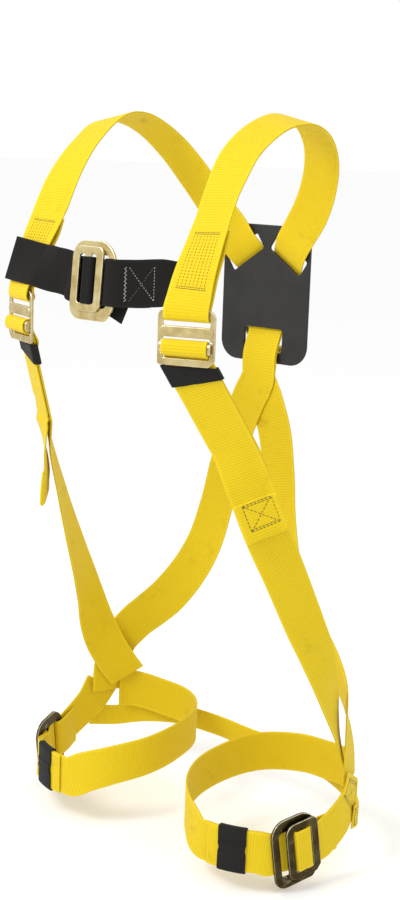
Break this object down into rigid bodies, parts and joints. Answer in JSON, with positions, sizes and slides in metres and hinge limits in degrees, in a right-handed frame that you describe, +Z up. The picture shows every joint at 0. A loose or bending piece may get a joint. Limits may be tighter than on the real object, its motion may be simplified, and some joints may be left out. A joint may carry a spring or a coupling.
{
  "type": "full-body fall-arrest harness",
  "caption": "Full-body safety harness in its worn shape, with webbing straps, torso adjusters, pass-through buckles, elastic keepers and a back D-ring.",
  "frame": {"origin": "midway between the tops of the two shoulder straps, where they rest on the wearer's shoulders", "axes": "+X to the wearer's left, -Y to the wearer's front, +Z up"},
  "size_m": [0.3888, 0.3082, 0.7741],
  "materials": {
    "webbing_yellow": "woven polyester",
    "webbing_black": "woven polyester",
    "elastic_black": "knitted elastic",
    "plated_steel": "yellow zinc plating",
    "bronze_steel": "dark yellow zinc plating",
    "pad_plastic": "fine moulded grain"
  },
  "bodies": {
    "webbing": {"adjuster_frame_left": "plated_steel", "adjuster_frame_right": "plated_steel", "chest_buckle_frame": "plated_steel", "chest_strap_left": "webbing_black", "chest_strap_right": "webbing_black", "chest_tail": "webbing_black", "dorsal_pad": "pad_plastic", "leg_buckle_frame_left": "bronze_steel", "leg_buckle_frame_right": "bronze_steel", "leg_strap_inner_left": "webbing_yellow", "leg_strap_inner_right": "webbing_yellow", "leg_strap_outer_left": "webbing_yellow", "leg_strap_outer_right": "webbing_yellow", "leg_tail_left": "webbing_yellow", "leg_tail_right": "webbing_yellow", "shoulder_strap_left": "webbing_yellow", "shoulder_strap_right": "webbing_yellow", "sub_pelvic_strap": "webbing_yellow", "torso_strap_left": "webbing_yellow", "torso_strap_right": "webbing_yellow", "torso_tail_left": "webbing_yellow", "torso_tail_right": "webbing_yellow"},
    "d_ring": {"dorsal_d_ring": "plated_steel"},
    "chest_tongue": {"chest_buckle_tongue": "plated_steel", "chest_roll": "webbing_black"},
    "adjuster_bar_left": {"adjuster_bar_left": "plated_steel", "adjuster_roll_left": "webbing_yellow"},
    "leg_tongue_left": {"leg_buckle_tongue_left": "bronze_steel", "leg_roll_left": "webbing_yellow"},
    "torso_keeper_left": {"torso_keeper_left": "elastic_black"},
    "leg_keeper_left": {"leg_keeper_left": "elastic_black"},
    "adjuster_bar_right": {"adjuster_bar_right": "plated_steel", "adjuster_roll_right": "webbing_yellow"},
    "leg_tongue_right": {"leg_buckle_tongue_right": "bronze_steel", "leg_roll_right": "webbing_yellow"},
    "torso_keeper_right": {"torso_keeper_right": "elastic_black"},
    "leg_keeper_right": {"leg_keeper_right": "elastic_black"}
  },
  "joints": [
    {"name": "d_ring_swing", "type": "hinge", "parent": "webbing", "child": "d_ring", "pos_m": [0, 0.1328, -0.19], "axis": [1, 0, 0], "range_deg": [0, 100]},
    {"name": "chest_tongue_tilt", "type": "hinge", "parent": "webbing", "child": "chest_tongue", "pos_m": [-0.0215, -0.14998, -0.16348], "axis": [0, -0.0872, -0.9962], "range_deg": [0, 45]},
    {"name": "leg_tongue_tilt_left", "type": "hinge", "parent": "webbing", "child": "leg_tongue_left", "pos_m": [0.17927, -0.03122, -0.73619], "axis": [0.0431, 0.1504, -0.9877], "range_deg": [0, 45]},
    {"name": "leg_tongue_tilt_right", "type": "hinge", "parent": "webbing", "child": "leg_tongue_right", "pos_m": [-0.17927, -0.03122, -0.72819], "axis": [0.0431, -0.1504, 0.9877], "range_deg": [0, 45]},
    {"name": "adjuster_bar_slide_left", "type": "slide", "parent": "webbing", "child": "adjuster_bar_left", "axis": [0, 0, 1], "range_m": [0, 0.0012]},
    {"name": "torso_keeper_slide_left", "type": "slide", "parent": "webbing", "child": "torso_keeper_left", "axis": [0.23, 0.4701, -0.8521], "range_m": [0, 0.05]},
    {"name": "leg_keeper_travel_left", "type": "hinge", "parent": "webbing", "child": "leg_keeper_left", "pos_m": [0.104, 0.026, -0.7315], "axis": [0, 0, 1], "range_deg": [-8, 3]},
    {"name": "adjuster_bar_slide_right", "type": "slide", "parent": "webbing", "child": "adjuster_bar_right", "axis": [0, 0, 1], "range_m": [0, 0.0012]},
    {"name": "torso_keeper_slide_right", "type": "slide", "parent": "webbing", "child": "torso_keeper_right", "axis": [-0.23, 0.4701, -0.8521], "range_m": [0, 0.05]},
    {"name": "leg_keeper_travel_right", "type": "hinge", "parent": "webbing", "child": "leg_keeper_right", "pos_m": [-0.104, 0.026, -0.7315], "axis": [0, 0, 1], "range_deg": [-3, 8]}
  ]
}
